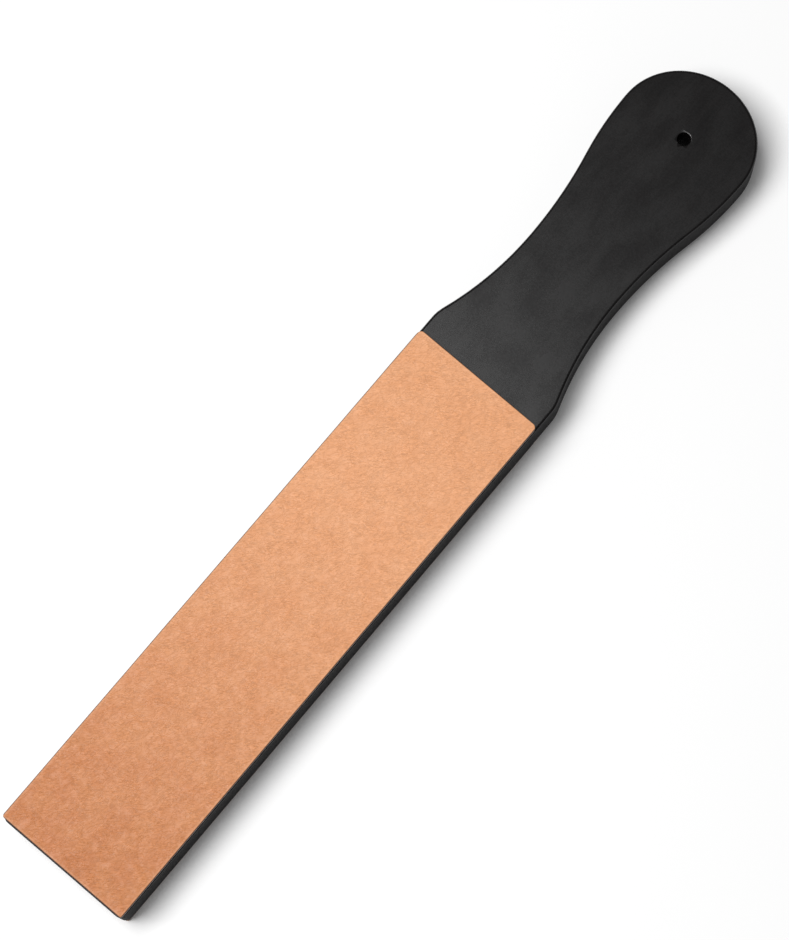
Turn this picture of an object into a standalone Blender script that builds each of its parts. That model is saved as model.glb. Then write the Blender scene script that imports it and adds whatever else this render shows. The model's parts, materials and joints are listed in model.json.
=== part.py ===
"""Two-sided leather strop: a paddle-shaped wooden board with a leather face bonded to each side.

Metres, +Z up. The strop lies on its rear leather: Z = 0 is that leather's outer face, +Y runs
along the board towards the tip of the handle, and the origin is under the middle of the length.
"""

import math

import bmesh
import bpy

# Driving dimensions: the blade, which is the part that the leather covers.
BLADE_WIDTH = 0.0506
LEATHER_LENGTH = 0.2053
LEATHER_SIDE_INSET = 0.0003  # board showing past the leather along each long side
LEATHER_END_INSET = 0.0005  # board showing past the leather at the square end
BOARD_THICKNESS = 0.015
LEATHER_THICKNESS = 0.0020
GLUE_THICKNESS = 0.0002
GLUE_MARGIN = 0.0005  # from the glue film's rim to where the board's face starts to round
BOND_CLEARANCE = 0.0003  # between neighbouring layers of the stack

# Driving dimensions: the handle, as stations that follow each other from the leather's edge.
HANDLE_STRAIGHT = 0.009  # the blade's full width, carried on past the leather
SWEEP_LENGTH = 0.039  # from there in to the neck
NECK_WIDTH = 0.0368
FLARE_LENGTH = 0.058  # from the neck out to the widest point of the bulb
FLARE_TURN = 0.0335  # from the neck to where that curve turns from hollow to round
BULB_WIDTH = 0.0491
BULB_END_LENGTH = 0.0229  # from there to the tip, round a half ellipse
SHOULDER_RADIUS = 0.014  # softens the corner where the full width ends

# Driving dimensions: hang hole, corners and edges.
HANG_HOLE_DIAMETER = 0.0045
HANG_HOLE_FROM_TIP = 0.0234
BOARD_CORNER_RADIUS = 0.0025
BOARD_EDGE_RADIUS = 0.0010
LEATHER_CORNER_RADIUS = 0.0015

# How finely round shapes are divided.
CHORD_ERROR = 0.00002
EDGE_SEGMENTS = 4
HOLE_SIDES = 32
CUTTER_OVERRUN = 0.002

# Derived sizes and places.
HANDLE_LENGTH = HANDLE_STRAIGHT + SWEEP_LENGTH + FLARE_LENGTH + BULB_END_LENGTH
OVERALL_LENGTH = LEATHER_END_INSET + LEATHER_LENGTH + HANDLE_LENGTH
TIP_Y = OVERALL_LENGTH / 2
BLADE_END_Y = -OVERALL_LENGTH / 2
LEATHER_START_Y = BLADE_END_Y + LEATHER_END_INSET
LEATHER_END_Y = LEATHER_START_Y + LEATHER_LENGTH
SHOULDER_Y = LEATHER_END_Y + HANDLE_STRAIGHT
NECK_Y = SHOULDER_Y + SWEEP_LENGTH
BULB_Y = NECK_Y + FLARE_LENGTH
HANG_HOLE_Y = TIP_Y - HANG_HOLE_FROM_TIP
GLUE_INSET = BOARD_EDGE_RADIUS + GLUE_MARGIN

REAR_LEATHER_Z = 0.0
REAR_GLUE_Z = REAR_LEATHER_Z + LEATHER_THICKNESS + BOND_CLEARANCE
BOARD_Z = REAR_GLUE_Z + GLUE_THICKNESS + BOND_CLEARANCE
FRONT_GLUE_Z = BOARD_Z + BOARD_THICKNESS + BOND_CLEARANCE
FRONT_LEATHER_Z = FRONT_GLUE_Z + GLUE_THICKNESS + BOND_CLEARANCE


def clear_scene():
    for thing in list(bpy.data.objects):
        bpy.data.objects.remove(thing)


def material(name, color, roughness, metallic=0.0):
    """A Principled material of one colour."""
    made = bpy.data.materials.new(name)
    made.use_nodes = True
    shader = made.node_tree.nodes["Principled BSDF"]
    shader.inputs["Base Color"].default_value = (*color, 1.0)
    shader.inputs["Roughness"].default_value = roughness
    shader.inputs["Metallic"].default_value = metallic
    return made


def arc(centre, radius, start, end):
    """Points of an arc about centre, from angle start to angle end, in radians."""
    step = 2 * math.acos(1 - min(CHORD_ERROR / radius, 0.5))
    count = max(3, math.ceil(abs(end - start) / step))
    angles = [start + (end - start) * i / count for i in range(count + 1)]
    return [(centre[0] + radius * math.cos(a), centre[1] + radius * math.sin(a)) for a in angles]


def shoulder_and_sweep():
    """The rounded shoulder, then the hollow arc that runs in to the neck."""
    drop = (BLADE_WIDTH - NECK_WIDTH) / 2
    sweep_radius = (SWEEP_LENGTH**2 + drop**2) / (2 * drop)
    centres_apart = sweep_radius + SHOULDER_RADIUS
    turn = math.acos(1 - drop / centres_apart)
    shoulder = (BLADE_WIDTH / 2 - SHOULDER_RADIUS, NECK_Y - centres_apart * math.sin(turn))
    sweep = (NECK_WIDTH / 2 + sweep_radius, NECK_Y)
    points = arc(shoulder, SHOULDER_RADIUS, 0, turn)
    return points + arc(sweep, sweep_radius, math.pi + turn, math.pi)[1:]


def flare_and_bulb():
    """The hollow arc out of the neck, the round arc on to the bulb, and half of its end."""
    rise = (BULB_WIDTH - NECK_WIDTH) / 2
    radii = (FLARE_LENGTH**2 + rise**2) / (2 * rise)
    turn = math.asin(FLARE_LENGTH / radii)
    hollow_radius = FLARE_TURN / math.sin(turn)
    round_radius = radii - hollow_radius
    hollow = (NECK_WIDTH / 2 + hollow_radius, NECK_Y)
    rounded = (BULB_WIDTH / 2 - round_radius, BULB_Y)
    points = arc(hollow, hollow_radius, math.pi, math.pi - turn)
    points += arc(rounded, round_radius, -turn, 0)[1:]
    stretch = BULB_END_LENGTH / (BULB_WIDTH / 2)
    end = arc((0, 0), BULB_WIDTH / 2, 0, math.pi / 2)[1:]
    return points + [(x, BULB_Y + stretch * y) for x, y in end]


def board_outline():
    """The paddle's outline, anticlockwise from the blade's square end."""
    corner = (BLADE_WIDTH / 2 - BOARD_CORNER_RADIUS, BLADE_END_Y + BOARD_CORNER_RADIUS)
    right = arc(corner, BOARD_CORNER_RADIUS, -math.pi / 2, 0)
    right += shoulder_and_sweep() + flare_and_bulb()[1:]
    left = [(-x, y) for x, y in reversed(right[:-1])]
    return right + left


def rounded_rectangle(width, low_y, high_y, radius):
    """A rectangle about X = 0 with its corners rounded, anticlockwise."""
    x, low, high = width / 2 - radius, low_y + radius, high_y - radius
    corners = [(x, low), (x, high), (-x, high), (-x, low)]
    points = []
    for i, centre in enumerate(corners):
        start = (i - 1) * math.pi / 2
        points += arc(centre, radius, start, start + math.pi / 2)
    return points


def plate(name, outline, low_z, thickness, finish):
    """A flat piece of even thickness with the given outline."""
    shape = bmesh.new()
    face = shape.faces.new([shape.verts.new((x, y, 0)) for x, y in outline])
    raised = bmesh.ops.extrude_face_region(shape, geom=[face])["geom"]
    moved = [v for v in raised if isinstance(v, bmesh.types.BMVert)]
    bmesh.ops.translate(shape, verts=moved, vec=(0, 0, thickness))
    bmesh.ops.recalc_face_normals(shape, faces=shape.faces)
    mesh = bpy.data.meshes.new(name)
    shape.to_mesh(mesh)
    shape.free()
    mesh.materials.append(finish)
    piece = bpy.data.objects.new(name, mesh)
    piece.location.z = low_z
    bpy.context.scene.collection.objects.link(piece)
    return piece


def smooth(piece):
    piece.data.shade_smooth()
    piece.data.set_sharp_from_angle(angle=math.radians(35))


def hang_hole_cutter(board):
    """A drill's path through the board, a little longer than the board is thick."""
    shape = bmesh.new()
    bmesh.ops.create_cone(
        shape,
        cap_ends=True,
        segments=HOLE_SIDES,
        radius1=HANG_HOLE_DIAMETER / 2,
        radius2=HANG_HOLE_DIAMETER / 2,
        depth=BOARD_THICKNESS + 2 * CUTTER_OVERRUN,
    )
    mesh = bpy.data.meshes.new("hang_hole_cutter")
    shape.to_mesh(mesh)
    shape.free()
    cutter = bpy.data.objects.new("hang_hole_cutter", mesh)
    cutter.location = (0, HANG_HOLE_Y, BOARD_THICKNESS / 2)
    cutter.parent = board
    cutter.hide_render = True
    cutter.display_type = "WIRE"
    bpy.context.scene.collection.objects.link(cutter)
    return cutter


def paddle_board():
    """The wooden core and handle in one piece, its edges rounded over and the hang hole drilled."""
    paint = material("black_satin_paint", (0.012, 0.012, 0.013), 0.45)
    board = plate("paddle_board", board_outline(), BOARD_Z, BOARD_THICKNESS, paint)
    rounding = board.modifiers.new("edges", "BEVEL")
    rounding.width = BOARD_EDGE_RADIUS
    rounding.segments = EDGE_SEGMENTS
    rounding.limit_method = "ANGLE"
    rounding.angle_limit = math.radians(60)
    drilling = board.modifiers.new("hang_hole", "BOOLEAN")
    drilling.operation = "DIFFERENCE"
    drilling.solver = "EXACT"
    drilling.object = hang_hole_cutter(board)
    smooth(board)
    return board


def leather_face(name, low_z, finish):
    outline = rounded_rectangle(
        BLADE_WIDTH - 2 * LEATHER_SIDE_INSET,
        LEATHER_START_Y,
        LEATHER_END_Y,
        LEATHER_CORNER_RADIUS,
    )
    return plate(name, outline, low_z, LEATHER_THICKNESS, finish)


def glue_film(name, low_z, finish):
    outline = rounded_rectangle(
        BLADE_WIDTH - 2 * GLUE_INSET,
        BLADE_END_Y + GLUE_INSET,
        LEATHER_END_Y - GLUE_INSET,
        LEATHER_CORNER_RADIUS,
    )
    return plate(name, outline, low_z, GLUE_THICKNESS, finish)


def main():
    clear_scene()
    grain_leather = material("smooth_tan_leather", (0.78, 0.42, 0.21), 0.55)
    flesh_leather = material("rough_tan_leather", (0.62, 0.36, 0.19), 0.85)
    cement = material("contact_cement", (0.45, 0.33, 0.18), 0.5)
    paddle_board()
    leather_face("rear_leather", REAR_LEATHER_Z, flesh_leather)
    glue_film("rear_glue_film", REAR_GLUE_Z, cement)
    glue_film("front_glue_film", FRONT_GLUE_Z, cement)
    leather_face("front_leather", FRONT_LEATHER_Z, grain_leather)


main()
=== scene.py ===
"""The looks of the two-sided leather strop: a black painted board, its two leathers and their glue.

Everything is in metres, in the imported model's frame: +Y runs to the handle's tip and +Z is up.
"""

import json
import math

import bmesh
import bpy
import numpy as np
from mathutils import Matrix, Vector, noise


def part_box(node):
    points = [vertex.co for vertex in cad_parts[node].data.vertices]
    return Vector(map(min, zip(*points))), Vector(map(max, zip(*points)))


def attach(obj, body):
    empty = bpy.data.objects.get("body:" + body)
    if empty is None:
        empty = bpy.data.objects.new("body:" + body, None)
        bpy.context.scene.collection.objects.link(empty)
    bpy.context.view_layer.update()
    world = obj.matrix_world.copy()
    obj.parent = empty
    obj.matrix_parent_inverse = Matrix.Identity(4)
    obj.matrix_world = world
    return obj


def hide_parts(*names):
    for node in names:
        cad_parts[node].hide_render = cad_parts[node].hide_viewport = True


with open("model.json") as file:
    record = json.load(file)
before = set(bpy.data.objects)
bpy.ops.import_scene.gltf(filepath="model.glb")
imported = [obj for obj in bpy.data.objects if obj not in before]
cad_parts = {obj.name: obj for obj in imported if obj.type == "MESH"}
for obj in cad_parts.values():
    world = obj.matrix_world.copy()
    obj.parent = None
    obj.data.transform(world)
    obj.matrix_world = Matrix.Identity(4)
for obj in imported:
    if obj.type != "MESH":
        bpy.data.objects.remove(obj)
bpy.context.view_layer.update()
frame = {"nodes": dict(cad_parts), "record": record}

MM = 0.001
BODY = "root"

# The camera's place over the strop, and how the picture is turned.
CAMERA_AIM = Vector((-0.0013, -0.0024, 0.0206))
CAMERA_DISTANCE = 0.9753
CAMERA_TILT = math.radians(11.99)  # off straight down
CAMERA_BEARING = math.radians(48.58)  # of the tilt, round from -Y towards +X
PICTURE_TURN = math.radians(40.06)  # from +X to the picture's rightward direction
LENS_MM = 116.19
SENSOR_MM = 36.0

# The light: one large soft source overhead, and dim surroundings.
KEY_PLACE = (-0.443, -0.46, 1.732)
KEY_HALF_SIZES = (0.393, 0.639)
KEY_TURN = 0.355
KEY_POWER = 38.5
SURROUNDINGS = 0.11
FLOOR_GLOW = 0.09  # the floor is a lit table, which lifts its shadows

# The board: how its surface is divided, and its softened hang hole.
BOARD_FINE = 0.35 * MM
BOARD_COARSE = 1.6 * MM
BOARD_WAVINESS = 0.035 * MM
LONG_STEP = 20 * MM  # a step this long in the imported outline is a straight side, not part of an arc
HOLE_LIP = 0.25 * MM

# The leathers: how their surfaces are divided, and how they were cut and finished.
LEATHER_FINE = 0.2 * MM
LEATHER_COARSE = 0.6 * MM
LEATHER_EDGE_ROUNDING = 0.35 * MM
LEATHER_CORNERS = (1.1 * MM, 2.0 * MM)  # radii at the square end and beside the handle
LEATHER_WAVINESS = 0.035 * MM
LEATHER_CREASE = 0.008 * MM
END_CUT_SLANT = -0.5 * MM  # how far each end of the cut by the handle is off square
RIM_WIDTH = 1.6 * MM  # how far the rim band reaches in from the cut edge
WRINKLE_TURN = math.radians(40)  # the direction that the grain's wrinkles run in, from +X to +Y
DARKENING_STRETCH = (-21.5 * MM, -161.5 * MM)  # the stretch along Y over which the leather's colour turns darker and redder towards the square end


# ---------------------------------------------------------------- outlines


class Outline:
    """A closed outline that is the same on both sides of X = 0, given as its right-hand half."""

    def __init__(self, half):
        steps = np.linalg.norm(np.diff(half, axis=0), axis=1)
        self.along = np.concatenate([[0], np.cumsum(steps)])
        self.half = half
        self.length = self.along[-1]

    def at(self, s):
        """Points at distance s from the middle of the square end; a negative s is on the left."""
        x = np.interp(np.abs(s), self.along, self.half[:, 0])
        y = np.interp(np.abs(s), self.along, self.half[:, 1])
        return np.stack([np.sign(s) * x, y], axis=1)


def smooth_curve(points, spacing):
    """Closely spaced points along a smooth curve through the given ones."""
    chords = np.diff(points, axis=0)
    steps = np.linalg.norm(chords, axis=1)
    along = np.concatenate([[0], np.cumsum(steps)])
    slopes = chords / steps[:, None]
    before, after = steps[:-1], steps[1:]
    share = np.select([before > LONG_STEP, after > LONG_STEP], [1.0, 0.0], after / (before + after))
    inner = slopes[:-1] * share[:, None] + slopes[1:] * (1 - share)[:, None]
    tangents = np.concatenate([slopes[:1], inner, slopes[-1:]])
    wanted = np.linspace(0, along[-1], int(along[-1] / spacing))
    i = np.clip(np.searchsorted(along, wanted) - 1, 0, len(steps) - 1)
    t = ((wanted - along[i]) / steps[i])[:, None]
    h = steps[i][:, None]
    return (
        (2 * t**3 - 3 * t**2 + 1) * points[i]
        + (t**3 - 2 * t**2 + t) * h * tangents[i]
        + (-2 * t**3 + 3 * t**2) * points[i + 1]
        + (t**3 - t**2) * h * tangents[i + 1]
    )


def board_wall():
    """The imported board's right-hand wall, as points from the square end to the tip, and its top."""
    mesh = frame["nodes"]["paddle_board"].data
    points = np.array([v.co for v in mesh.vertices], float)
    widest = points[points[:, 0] > points[:, 0].max() - 0.01 * MM]
    wall_top = widest[:, 2].max()
    on_top = np.abs(points[:, 2] - wall_top) < 0.01 * MM
    ring = points[on_top & (points[:, 0] > -0.01 * MM)][:, :2]
    ring = ring[np.argsort(ring[:, 1])]
    apart = np.linalg.norm(np.diff(ring, axis=0), axis=1) > 0.01 * MM
    return ring[np.concatenate([[True], apart])], wall_top


def arc(centre, radius, start, end, count=24):
    angles = np.radians(np.linspace(start, end, count))
    return np.array(centre) + radius * np.stack([np.cos(angles), np.sin(angles)], axis=1)


def rounded_sheet(low, high, radii):
    """A rectangle's outline, with corners rounded by the first radius at its low Y and by the second
    at its high Y, and the distances along it of the middles of its two right-hand corners."""
    corners = []
    for radius, y, start in zip(radii, (low[1] + radii[0], high[1] - radii[1]), (-90, 0), strict=True):
        corners.append(arc((high[0] - radius, y), radius, start, start + 90))
    outline = Outline(np.concatenate([[(0, low[1])], *corners, [(0, high[1])]]))
    to_corner = [high[0] - radius * (1 - math.pi / 4) for radius in radii]
    return outline, (to_corner[0], outline.length - to_corner[1])


# ---------------------------------------------------------------- meshes


def graded(length, fine, coarse, growth=1.3):
    """Shares along a side whose steps grow from fine at both ends to coarse in the middle."""
    places, step = [0.0], fine
    while places[-1] + step < length / 2:
        places.append(places[-1] + step)
        step = min(step * growth, coarse)
    half = np.array(places + [length / 2]) / length
    if len(half) > 2 and half[-1] - half[-2] < 0.5 * (half[-2] - half[-3]):
        half = np.delete(half, -2)
    return np.concatenate([half, 1 - half[-2::-1]])


def inset(ring, distance):
    """A closed ring of points, moved in by a distance along its own normals."""
    tangent = np.roll(ring, -1, axis=0) - np.roll(ring, 1, axis=0)
    tangent /= np.linalg.norm(tangent, axis=1)[:, None]
    return ring - distance * np.stack([tangent[:, 1], -tangent[:, 0]], axis=1)


def filled(ring, across, along):
    """A grid of points inside a ring, whose four sides have the given shares along them."""
    na, nb = len(across) - 1, len(along) - 1
    front = ring[: na + 1]
    right = ring[na : na + nb + 1]
    back = ring[na + nb : 2 * na + nb + 1][::-1]
    left = np.concatenate([ring[2 * na + nb :], ring[:1]])[::-1]
    a, b = across[None, :, None], along[:, None, None]
    sides = (1 - b) * front[None] + b * back[None] + (1 - a) * left[:, None] + a * right[:, None]
    corners = (1 - a) * (1 - b) * front[0] + a * (1 - b) * front[-1]
    corners = corners + (1 - a) * b * back[0] + a * b * back[-1]
    return sides - corners


def profile(low, high, rounding, segments, wall_rows):
    """(inset, Z) pairs from the rim of the top face, down the rounded side, to the bottom's rim."""
    turn = np.radians(np.linspace(90, 0, segments + 1))
    upper = [(rounding * (1 - math.cos(a)), high - rounding * (1 - math.sin(a))) for a in turn]
    lower = [(d, low + high - z) for d, z in reversed(upper)]
    walls = np.linspace(upper[-1][1], lower[0][1], wall_rows + 1)[1:-1]
    return upper + [(0.0, z) for z in walls] + lower


def slab(name, outline, corners, steps, rows):
    """A closed slab with gridded faces. corners are the distances along the half outline of the
    grid's two right-hand corners, steps the finest and coarsest, rows the side's profile."""
    first, second = corners
    fine, coarse = steps
    across = graded(2 * first, fine, coarse)
    along = graded(second - first, fine, coarse)
    cap = outline.length - second
    front = outline.at(first * (2 * across - 1))
    right = outline.at(first + (second - first) * along)
    turn = 1 - 2 * across
    back = outline.at(np.where(turn < 0, -1, 1) * (outline.length - cap * np.abs(turn)))
    left = right[::-1] * (-1, 1)
    ring = np.concatenate([front[:-1], right[:-1], back[:-1], left[:-1]])
    na, nb, size = len(across) - 1, len(along) - 1, len(ring)

    top = filled(inset(ring, rows[0][0]), across, along)
    bottom = filled(inset(ring, rows[-1][0]), across, along)
    points = [np.dstack([top, np.full(top.shape[:2], rows[0][1])]).reshape(-1, 3)]
    points += [np.column_stack([inset(ring, d), np.full(size, z)]) for d, z in rows[1:-1]]
    points += [np.dstack([bottom, np.full(bottom.shape[:2], rows[-1][1])]).reshape(-1, 3)]

    grid = np.arange((na + 1) * (nb + 1)).reshape(nb + 1, na + 1)
    rim = np.concatenate([grid[0, :-1], grid[:-1, -1], grid[-1, :0:-1], grid[:0:-1, 0]])
    quads = np.stack([grid[:-1, :-1], grid[:-1, 1:], grid[1:, 1:], grid[1:, :-1]], axis=-1)
    quads = quads.reshape(-1, 4)
    below = grid.size + size * (len(rows) - 2)
    rings = [rim] + [grid.size + size * i + np.arange(size) for i in range(len(rows) - 2)]
    rings.append(rim + below)
    faces = [quads, quads[:, ::-1] + below]
    for upper, lower in zip(rings[:-1], rings[1:], strict=True):
        faces.append(np.stack([upper, lower, np.roll(lower, -1), np.roll(upper, -1)], axis=1))
    mesh = bpy.data.meshes.new(name)
    mesh.from_pydata(np.concatenate(points).tolist(), [], np.concatenate(faces).tolist())
    mesh.validate()
    mesh.shade_smooth()
    made = bpy.data.objects.new(name, mesh)
    bpy.context.scene.collection.objects.link(made)
    return made


def coordinates(mesh):
    values = np.zeros(len(mesh.vertices) * 3, np.float32)
    mesh.vertices.foreach_get("co", values)
    return values.reshape(-1, 3).astype(float)


def displace(piece, height):
    """Moves each vertex along its normal by height(points), in metres."""
    mesh = piece.data
    points = coordinates(mesh)
    normals = np.array([n.vector for n in mesh.vertex_normals], float)
    moved = points + normals * height(points)[:, None]
    mesh.vertices.foreach_set("co", moved.astype(np.float32).ravel())
    mesh.update()


def field(points, size, seed, stretch=(1, 1, 1), octaves=3):
    """Smooth noise from -1 to 1 at each point, with features of the given size."""
    scaled = points / (size * np.array(stretch)) + seed
    return np.array([noise.fractal(Vector(p), 1.0, 2.0, octaves) for p in scaled])


def keep_sharp(piece, degrees):
    piece.data.set_sharp_from_angle(angle=math.radians(degrees))


# ---------------------------------------------------------------- materials


def node(tree, kind, inputs=None, **settings):
    """A shader node with its settings, and its inputs given as values or as other sockets."""
    made = tree.nodes.new("ShaderNode" + kind)
    for key, value in settings.items():
        setattr(made, key, value)
    for key, value in (inputs or {}).items():
        if isinstance(value, bpy.types.NodeSocket):
            tree.links.new(value, made.inputs[key])
        else:
            made.inputs[key].default_value = value
    return made


def new_material(name, **values):
    """A material with one Principled shader, and the constants set on its sockets."""
    made = bpy.data.materials.new(name)
    made.use_nodes = True
    shader = made.node_tree.nodes["Principled BSDF"]
    for key, value in values.items():
        shader.inputs[key.replace("_", " ")].default_value = value
    return made, made.node_tree, shader


def place(tree, size, stretch=(1, 1, 1), turn=0.0):
    """The point in the piece's own frame, in features of the given size. They are stretched along
    axes that are turned from +X towards +Y."""
    coords = node(tree, "TexCoord").outputs["Object"]
    inputs = {"Vector": coords, "Scale": tuple(size * s for s in stretch), "Rotation": (0, 0, turn)}
    return node(tree, "Mapping", inputs, vector_type="TEXTURE").outputs["Vector"]


def share_along(tree, start, end):
    """0 up to the place start along Y, rising evenly to 1 at the place end."""
    coords = node(tree, "TexCoord").outputs["Object"]
    y = node(tree, "SeparateXYZ", {0: coords}).outputs["Y"]
    inputs = {"Value": y, "From Min": start, "From Max": end}
    return node(tree, "MapRange", inputs).outputs["Result"]


def cloud(tree, where, detail=3.0, rough=0.5, distortion=0.0):
    inputs = {"Vector": where, "Scale": 1, "Detail": detail}
    inputs |= {"Roughness": rough, "Distortion": distortion}
    return node(tree, "TexNoise", inputs).outputs["Fac"]


def cells(tree, where, feature="F1"):
    inputs = {"Vector": where, "Scale": 1}
    return node(tree, "TexVoronoi", inputs, feature=feature).outputs["Distance"]


def spread(tree, value, low, high, to_low=0.0, to_high=1.0):
    inputs = {"Value": value, "From Min": low, "From Max": high, "To Min": to_low, "To Max": to_high}
    return node(tree, "MapRange", inputs, interpolation_type="SMOOTHSTEP").outputs["Result"]


def mixed(tree, share, first, second):
    inputs = {0: share, 6: first, 7: second}
    return node(tree, "Mix", inputs, data_type="RGBA").outputs[2]


def shaded(tree, color, shade):
    """The color made lighter or darker by a factor."""
    inputs = {0: 1.0, 6: color, 7: shade}
    return node(tree, "Mix", inputs, data_type="RGBA", blend_type="MULTIPLY").outputs[2]


def maths(tree, operation, a, b=0.0):
    return node(tree, "Math", {0: a, 1: b}, operation=operation).outputs[0]


def bump(tree, height, distance, strength, under=None):
    inputs = {"Height": height, "Distance": distance, "Strength": strength}
    if under is not None:
        inputs["Normal"] = under
    return node(tree, "Bump", inputs).outputs["Normal"]


def attribute(tree, name):
    return node(tree, "Attribute", attribute_name=name).outputs["Fac"]


def grain_leather():
    """Smooth vegetable-tanned leather: fine wrinkles with painted light on their crests and painted shade in
    their hollows, painted shade along the creases, mottling, a darker and redder square end, a painted highlight
    along the edge and a dark cut edge that is partly painted shade.
    """
    made, tree, shader = new_material("grain_leather", Sheen_Weight=0.06, Sheen_Roughness=0.4)
    wrinkles = cloud(tree, place(tree, 0.34 * MM, (3.4, 1, 1), WRINKLE_TURN), 1, 0.5, 0.7)
    deeper = spread(tree, cloud(tree, place(tree, 5 * MM), 2), 0.3, 0.7, 0.35, 0.95)
    creases = cloud(tree, place(tree, 1.5 * MM, (2.2, 1, 1), WRINKLE_TURN + 0.5), 3, 0.55, 0.8)
    fold = maths(tree, "ABSOLUTE", maths(tree, "SUBTRACT", creases, 0.5))
    fold = spread(tree, fold, 0.0, 0.05)
    pores = spread(tree, cells(tree, place(tree, 0.42 * MM)), 0.05, 0.35)
    patches = cloud(tree, place(tree, 10 * MM, (1.3, 1, 1), WRINKLE_TURN), 2)
    mottling = cloud(tree, place(tree, 2.2 * MM), 3, 0.5)

    near = mixed(tree, spread(tree, patches, 0.3, 0.7), (0.743, 0.327, 0.141, 1), (0.757, 0.349, 0.160, 1))
    far = mixed(tree, spread(tree, patches, 0.35, 0.65), (0.507, 0.163, 0.040, 1), (0.534, 0.187, 0.052, 1))
    # the colour turns darker and redder towards the square end
    color = mixed(tree, share_along(tree, *DARKENING_STRETCH), near, far)
    color = shaded(tree, color, spread(tree, mottling, 0.3, 0.7, 1.015, 0.98))
    # painted light on the wrinkles' crests and painted shade in their hollows, stronger where the wrinkles are
    # deeper
    wrinkle_light_and_shade = maths(tree, "MULTIPLY", spread(tree, wrinkles, 0.30, 0.70, -0.12, 0.12), deeper)
    color = shaded(tree, color, maths(tree, "ADD", wrinkle_light_and_shade, 1.0))
    # painted shade along the creases
    color = shaded(tree, color, spread(tree, fold, 0.0, 1.0, 0.90, 1.0))
    color = shaded(tree, color, spread(tree, pores, 0.0, 1.0, 1.10, 1.0))
    rim = attribute(tree, "rim")
    # a painted highlight on the rounded edge, a little in from the cut
    color = mixed(tree, spread(tree, rim, 0.30, 0.62, 0, 0.22), color, (0.75, 0.40, 0.21, 1))
    # the dark cut edge: partly the edge's own dark colour, partly painted shade
    color = mixed(tree, spread(tree, rim, 0.72, 0.95), color, (0.055, 0.018, 0.009, 1))
    tree.links.new(color, shader.inputs["Base Color"])
    rough = spread(tree, mottling, 0.3, 0.7, 0.46, 0.56)
    tree.links.new(rough, shader.inputs["Roughness"])
    relief = bump(tree, maths(tree, "MULTIPLY", wrinkles, deeper), 0.2 * MM, 0.9)
    relief = bump(tree, fold, 0.04 * MM, 0.6, relief)
    tree.links.new(relief, shader.inputs["Normal"])
    return made


def flesh_leather():
    """The rough side of the same leather: a short brushed nap over a mottled brown ground."""
    made, tree, shader = new_material("flesh_leather", Sheen_Weight=0.35, Sheen_Roughness=0.6)
    shader.inputs["Roughness"].default_value = 0.88
    nap = cloud(tree, place(tree, 0.35 * MM, (1, 3.2, 1), 0.35), 5, 0.7, 1.2)
    tufts = cloud(tree, place(tree, 1.6 * MM, (1, 1.8, 1)), 5, 0.65)
    patches = cloud(tree, place(tree, 14 * MM), 4)
    color = mixed(tree, spread(tree, patches, 0.3, 0.7), (0.42, 0.225, 0.115, 1), (0.53, 0.30, 0.165, 1))
    color = mixed(tree, spread(tree, nap, 0.35, 0.7, 0, 0.5), color, (0.66, 0.42, 0.26, 1))
    color = mixed(tree, spread(tree, tufts, 0.4, 0.7, 0, 0.45), color, (0.33, 0.16, 0.08, 1))
    rim = attribute(tree, "rim")
    color = mixed(tree, spread(tree, rim, 0.78, 0.97), color, (0.11, 0.048, 0.024, 1))
    tree.links.new(color, shader.inputs["Base Color"])
    relief = bump(tree, tufts, 0.12 * MM, 0.6)
    relief = bump(tree, nap, 0.08 * MM, 0.8, relief)
    tree.links.new(relief, shader.inputs["Normal"])
    return made


def satin_paint():
    """Black satin paint: faint wood grain through it, and duller on the steep sides."""
    made, tree, shader = new_material("satin_paint")
    grain = cloud(tree, place(tree, 0.5 * MM, (1, 22, 1)), 4, 0.6, 0.3)
    peel = cloud(tree, place(tree, 0.6 * MM), 3, 0.6)
    haze = cloud(tree, place(tree, 9 * MM, (1, 2, 1)), 4, 0.6)
    normal = node(tree, "TexCoord").outputs["Normal"]
    level = maths(tree, "ABSOLUTE", node(tree, "SeparateXYZ", {0: normal}).outputs["Z"])
    color = mixed(tree, spread(tree, grain, 0.3, 0.7), (0.0016, 0.0011, 0.0012, 1), (0.0034, 0.0026, 0.0027, 1))
    tree.links.new(color, shader.inputs["Base Color"])
    rough = maths(tree, "ADD", spread(tree, haze, 0.3, 0.7, 0.235, 0.275), spread(tree, peel, 0.3, 0.7, 0, 0.03))
    rough = maths(tree, "ADD", rough, spread(tree, level, 0.1, 0.7, 0.4, 0))
    tree.links.new(rough, shader.inputs["Roughness"])
    tree.links.new(spread(tree, level, 0.1, 0.7, 0.06, 0.5), shader.inputs["Specular IOR Level"])
    relief = bump(tree, peel, 0.012 * MM, 0.35)
    relief = bump(tree, grain, 0.012 * MM, 0.2, relief)
    tree.links.new(relief, shader.inputs["Normal"])
    return made


def dried_glue():
    """Contact cement, squeezed out a little and dried to a dull amber brown."""
    made, tree, shader = new_material("dried_glue", Roughness=0.45)
    lumps = cloud(tree, place(tree, 1.5 * MM), 4)
    color = mixed(tree, spread(tree, lumps, 0.3, 0.7), (0.16, 0.085, 0.03, 1), (0.28, 0.16, 0.06, 1))
    tree.links.new(color, shader.inputs["Base Color"])
    tree.links.new(bump(tree, lumps, 0.2 * MM, 0.6), shader.inputs["Normal"])
    return made


def pale_floor():
    made, tree, shader = new_material("pale_floor", Roughness=0.9)
    shader.inputs["Specular IOR Level"].default_value = 0.1
    shader.inputs["Base Color"].default_value = (0.88, 0.88, 0.88, 1)
    shader.inputs["Emission Color"].default_value = (1, 1, 1, 1)
    shader.inputs["Emission Strength"].default_value = FLOOR_GLOW
    return made


# ---------------------------------------------------------------- pieces


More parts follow.
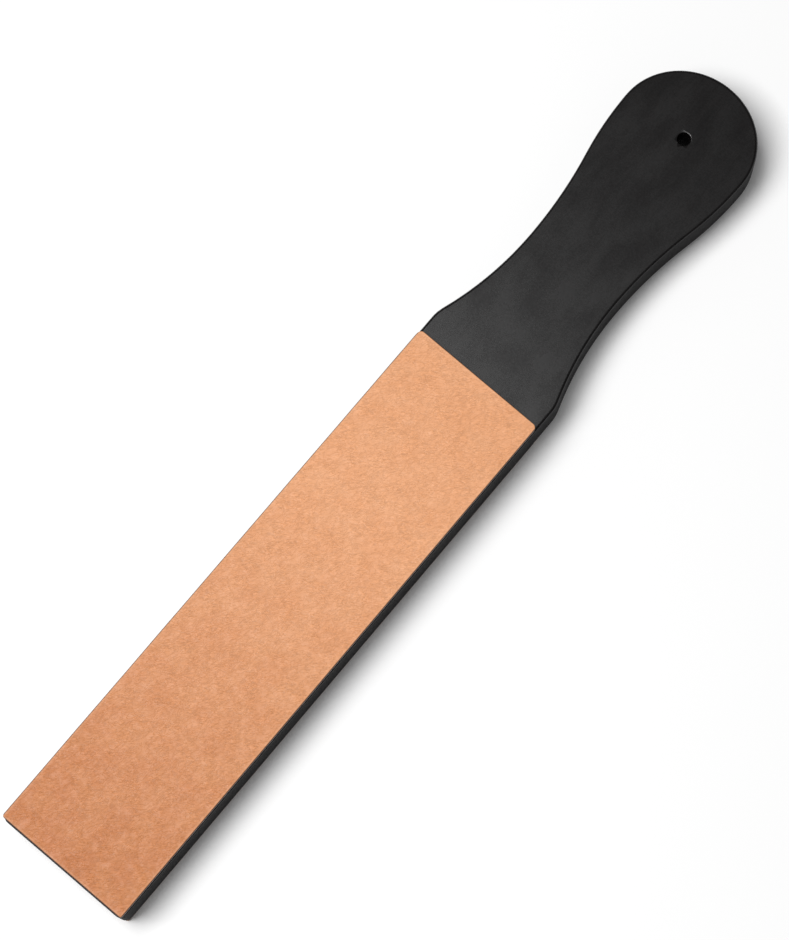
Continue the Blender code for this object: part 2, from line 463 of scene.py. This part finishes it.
def hole_cutter(centre, radius, low, high):
    """A turned cutter for the hang hole that also rounds its two rims."""
    sides, steep = 96, math.radians(68)
    turns = np.linspace(0, steep, 7)
    lip = [(radius + HOLE_LIP * (1 - math.cos(t)), -HOLE_LIP * (math.sin(steep) - math.sin(t))) for t in turns]
    lip.append((lip[-1][0] + MM * math.sin(steep), MM * math.cos(steep)))
    shape = [(r, high + z) for r, z in reversed(lip)] + [(r, low - z) for r, z in lip]
    mesh = bmesh.new()
    rings = []
    for r, z in shape:
        angles = [2 * math.pi * i / sides for i in range(sides)]
        points = [(centre[0] + r * math.cos(a), centre[1] + r * math.sin(a), z) for a in angles]
        rings.append([mesh.verts.new(p) for p in points])
    for upper, lower in zip(rings[:-1], rings[1:], strict=True):
        for i in range(sides):
            j = (i + 1) % sides
            mesh.faces.new((upper[i], lower[i], lower[j], upper[j]))
    mesh.faces.new(rings[0])
    mesh.faces.new(reversed(rings[-1]))
    bmesh.ops.recalc_face_normals(mesh, faces=mesh.faces)
    data = bpy.data.meshes.new("hole_cutter")
    mesh.to_mesh(data)
    mesh.free()
    cutter = bpy.data.objects.new("hole_cutter", data)
    bpy.context.scene.collection.objects.link(cutter)
    return cutter


def cut(piece, cutter):
    """Takes the cutter's shape out of the piece, and removes the cutter."""
    drilling = piece.modifiers.new("cut", "BOOLEAN")
    drilling.object = cutter
    drilling.solver = "EXACT"
    bpy.context.view_layer.update()
    depsgraph = bpy.context.evaluated_depsgraph_get()
    drilled = bpy.data.meshes.new_from_object(piece.evaluated_get(depsgraph))
    piece.modifiers.clear()
    piece.data = drilled
    bpy.data.objects.remove(cutter)


def finish_piece(piece, finish, slot, *nodes):
    piece.data.materials.clear()
    piece.data.materials.append(finish)
    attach(piece, BODY)
    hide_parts(*nodes)


def make_board():
    low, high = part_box("paddle_board")
    wall, wall_top = board_wall()
    rounding = high.z - wall_top
    half = np.concatenate([[(0, low.y)], wall])
    half = np.concatenate([half[:1], smooth_curve(half[1:], 0.05 * MM)])
    outline = Outline(half)
    corner_radius = outline.half[:, 0].max() - half[1, 0]
    first = half[1, 0] + corner_radius * math.pi / 4
    second = outline.length - high.x * 0.75
    rows = profile(low.z, high.z, rounding, 8, 7)
    board = slab("board", outline, (first, second), (BOARD_FINE, BOARD_COARSE), rows)

    hole = next(m for m in frame["record"]["mounts"] if m["name"] == "hang_hole")
    radius = hole["dims"]["r_mm"] * MM
    displace(board, lambda p: BOARD_WAVINESS * field(p, 28 * MM, 3.1, (1, 2.5, 1), 2))
    cut(board, hole_cutter(hole["pos_m"][:2], radius, low.z, high.z))
    keep_sharp(board, 40)
    finish_piece(board, satin_paint(), "board_paint", "paddle_board")
    return board


def rim_share(piece, low, high):
    """Stores how near each point is to the cut edge: 1 on it, 0 from the rim's width inwards."""
    points = coordinates(piece.data)
    inside = np.minimum.reduce(
        [points[:, 0] - low[0], high[0] - points[:, 0], points[:, 1] - low[1], high[1] - points[:, 1]]
    )
    share = 1 - np.clip(inside / RIM_WIDTH, 0, 1)
    stored = piece.data.attributes.new("rim", "FLOAT", "POINT")
    stored.data.foreach_set("value", share.astype(np.float32))


def make_leather(name, cad_node, finish, slot, seed):
    low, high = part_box(cad_node)
    outline, corners = rounded_sheet(low, high, LEATHER_CORNERS)
    rows = profile(low.z, high.z, LEATHER_EDGE_ROUNDING, 4, 5)
    leather = slab(name, outline, corners, (LEATHER_FINE, LEATHER_COARSE), rows)
    rim_share(leather, low, high)

    def relief(points):
        waves = LEATHER_WAVINESS * np.minimum(field(points, 9 * MM, seed, (1, 1.6, 1), 2) - 0.8, 0)
        creases = np.abs(field(points, 2.6 * MM, seed + 7, (2.2, 1, 1), 2))
        return waves - LEATHER_CREASE * (1 - np.clip(creases / 0.15, 0, 1))

    displace(leather, relief)
    points = coordinates(leather.data)
    near = np.clip((points[:, 1] - high.y + 12 * MM) / (12 * MM), 0, 1)
    points[:, 1] += END_CUT_SLANT * near**2 * points[:, 0] / high.x
    leather.data.vertices.foreach_set("co", points.astype(np.float32).ravel())
    keep_sharp(leather, 50)
    finish_piece(leather, finish, slot, cad_node)
    return leather


def make_glue(name, cad_node, low_z, high_z, finish):
    """The glue between a leather and the board, filling the space between them."""
    low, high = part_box(cad_node)
    margin = 0.02 * MM
    outline, corners = rounded_sheet(low, high, LEATHER_CORNERS)
    rows = profile(low_z + margin, high_z - margin, 0.15 * MM, 2, 2)
    glue = slab(name, outline, corners, (0.3 * MM, 2 * MM), rows)
    points = coordinates(glue.data)
    ragged = field(points * (1, 1, 0), 5 * MM, 9.7, octaves=3)[:, None]
    centre = np.array([(low.x + high.x) / 2, (low.y + high.y) / 2, 0])
    away = (points - centre) * (1, 1, 0)
    reach = np.maximum(np.abs(away[:, :1]) / high.x, np.abs(away[:, 1:2]) / (high.y - centre[1]))
    side = np.where(np.abs(away[:, :1]) / high.x > reach - 0.02, np.sign(away[:, :1]), 0)
    end = np.where(np.abs(away[:, 1:2]) / (high.y - centre[1]) > reach - 0.004, np.sign(away[:, 1:2]), 0)
    outer = np.clip((reach - 0.9) / 0.1, 0, 1)
    points[:, :1] += side * outer * ragged * 0.5 * MM
    points[:, 1:2] += end * outer * ragged * 0.5 * MM
    glue.data.vertices.foreach_set("co", points.astype(np.float32).ravel())
    keep_sharp(glue, 50)
    finish_piece(glue, finish, "glue", cad_node)
    return glue


# ---------------------------------------------------------------- stage


def make_floor():
    mesh = bpy.data.meshes.new("floor")
    reach = 6.0
    corners = [(-reach, -reach, 0), (reach, -reach, 0), (reach, reach, 0), (-reach, reach, 0)]
    mesh.from_pydata(corners, [], [(0, 1, 2, 3)])
    mesh.materials.append(pale_floor())
    floor = bpy.data.objects.new("floor", mesh)
    floor.location.z = -0.02 * MM
    bpy.context.scene.collection.objects.link(floor)


def softbox(name, centre, half_sizes, turn, power):
    """A rectangular area light aimed at the origin, turned about its own axis."""
    back = Vector(centre).normalized()
    level = Vector((0, 1, 0)).cross(back).normalized()
    steep = level.cross(back)
    side = level * math.cos(turn) + steep * math.sin(turn)
    data = bpy.data.lights.new(name, "AREA")
    data.shape = "RECTANGLE"
    data.size, data.size_y = 2 * half_sizes[0], 2 * half_sizes[1]
    data.energy = power
    light = bpy.data.objects.new(name, data)
    turned = Matrix((side, back.cross(side), back)).transposed().to_4x4()
    light.matrix_world = Matrix.Translation(centre) @ turned
    bpy.context.scene.collection.objects.link(light)


def make_lights():
    world = bpy.data.worlds.new("soft_surroundings")
    world.use_nodes = True
    background = world.node_tree.nodes["Background"]
    background.inputs["Color"].default_value = (1, 1, 1, 1)
    background.inputs["Strength"].default_value = SURROUNDINGS
    bpy.context.scene.world = world
    softbox("key", KEY_PLACE, KEY_HALF_SIZES, KEY_TURN, KEY_POWER)
    bpy.context.scene.view_settings.view_transform = "Standard"


def make_camera():
    data = bpy.data.cameras.new("camera")
    data.lens = LENS_MM
    data.sensor_width = SENSOR_MM
    camera = bpy.data.objects.new("camera", data)
    back = Vector(
        (
            math.sin(CAMERA_TILT) * math.sin(CAMERA_BEARING),
            -math.sin(CAMERA_TILT) * math.cos(CAMERA_BEARING),
            math.cos(CAMERA_TILT),
        )
    )
    up = Vector((-math.sin(PICTURE_TURN), math.cos(PICTURE_TURN), 0))
    right = up.cross(back).normalized()
    up = back.cross(right)
    turned = Matrix((right, up, back)).transposed().to_4x4()
    camera.matrix_world = Matrix.Translation(CAMERA_AIM + back * CAMERA_DISTANCE) @ turned
    bpy.context.scene.collection.objects.link(camera)
    bpy.context.scene.camera = camera


make_camera()
make_lights()
make_floor()
make_board()
make_leather("front_leather_face", "front_leather", grain_leather(), "front_leather", 1.7)
make_leather("rear_leather_face", "rear_leather", flesh_leather(), "rear_leather", 5.3)
glue_finish = dried_glue()
board_low, board_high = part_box("paddle_board")
make_glue("front_glue_line", "front_glue_film", board_high.z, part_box("front_leather")[0].z, glue_finish)
make_glue("rear_glue_line", "rear_glue_film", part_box("rear_leather")[1].z, board_low.z, glue_finish)
